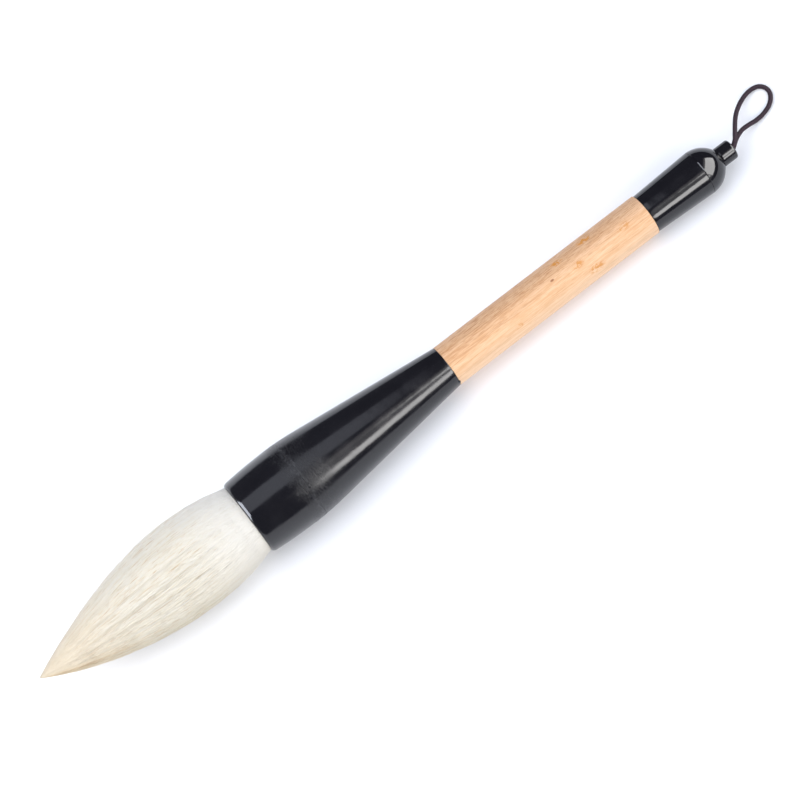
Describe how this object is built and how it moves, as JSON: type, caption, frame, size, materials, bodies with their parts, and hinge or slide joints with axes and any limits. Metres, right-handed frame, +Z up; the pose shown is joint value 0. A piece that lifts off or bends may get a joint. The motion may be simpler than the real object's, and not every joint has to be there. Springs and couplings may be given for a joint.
{
  "type": "calligraphy brush",
  "caption": "Large calligraphy brush: pointed goat-hair tuft, glossy black cone ferrule, straight bamboo handle, black tail cap with a knob and a braided hanging loop.",
  "frame": {"origin": "on the surface that the brush lies on, below the middle of the brush without its loop", "axes": "+X along the brush toward its tail, -X toward its tip, +Z up from the surface, +Y to the side that the loop lies on"},
  "size_m": [0.3696, 0.0376, 0.0379],
  "materials": {
    "hair": "soft cream goat hair, fine lengthwise strands",
    "thread": "twisted cotton",
    "resin": "amber glue",
    "black_ferrule": "polished, slightly scuffed",
    "black_tail": "polished",
    "dowel_wood": "plain turned wood",
    "bamboo": "satin, straight fibres with brown spots",
    "cord": "braided polyester"
  },
  "bodies": {
    "handle_assembly": {"hair_root": "hair", "root_thread": "thread", "root_resin": "resin", "ferrule_cup": "black_ferrule", "ferrule_body": "black_ferrule", "front_dowel": "dowel_wood", "bamboo_handle": "bamboo", "rear_dowel": "dowel_wood", "tail_sleeve": "black_tail", "tail_dome": "black_tail", "hanger_knob": "black_tail"},
    "tuft": {"outer_hair": "hair", "belly_hair": "hair", "core_hair": "hair"},
    "cord_knot": {"loop_knot": "cord"},
    "cord_loop": {"hanging_loop": "cord"}
  },
  "joints": [
    {"name": "tuft_bend", "type": "hinge", "parent": "handle_assembly", "child": "tuft", "pos_m": [-0.06981, 0, 0.01796], "axis": [0, 0, 1], "range_deg": [-30, 30], "stiffness_Nm_per_rad": 0.1, "deforming": ["outer_hair", "belly_hair", "core_hair"]},
    {"name": "loop_turn", "type": "hinge", "parent": "handle_assembly", "child": "cord_knot", "pos_m": [0.17032, 0, 0.00907], "axis": [0.9993, 0, -0.037], "continuous": true},
    {"name": "loop_swing", "type": "hinge", "parent": "cord_knot", "child": "cord_loop", "pos_m": [0.17032, 0, 0.00907], "axis": [0, 0, 1], "range_deg": [-100, 25]}
  ]
}
